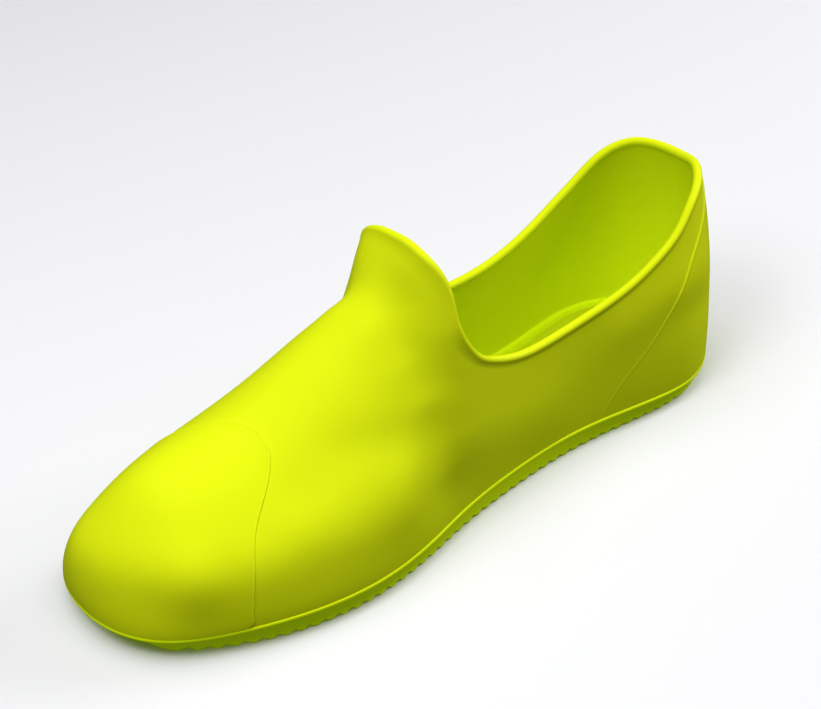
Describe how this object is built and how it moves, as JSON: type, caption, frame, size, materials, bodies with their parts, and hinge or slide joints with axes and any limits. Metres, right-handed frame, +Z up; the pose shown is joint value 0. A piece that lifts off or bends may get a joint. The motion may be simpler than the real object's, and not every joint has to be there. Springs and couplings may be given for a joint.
{
  "type": "overshoe",
  "caption": "Low moulded rubber overshoe for the left foot, with a raised tab over the instep, a rolled collar rim, a laid-on toe cap and heel counter, and a ribbed outsole.",
  "frame": {"origin": "on the floor under the middle of the whole shoe's length and width", "axes": "+X from heel to toe, +Y toward the wearer's left (the outer side of this shoe), +Z up from the floor"},
  "size_m": [0.2946, 0.1, 0.1131],
  "materials": {
    "shell_rubber": "satin",
    "cap_rubber": "satin",
    "counter_rubber": "satin",
    "sole_rubber": "satin",
    "footbed_rubber": "matte"
  },
  "bodies": {
    "root": {"upper": "shell_rubber", "toe_cap": "cap_rubber", "heel_counter": "counter_rubber", "outsole": "sole_rubber", "insole": "footbed_rubber"}
  },
  "joints": []
}
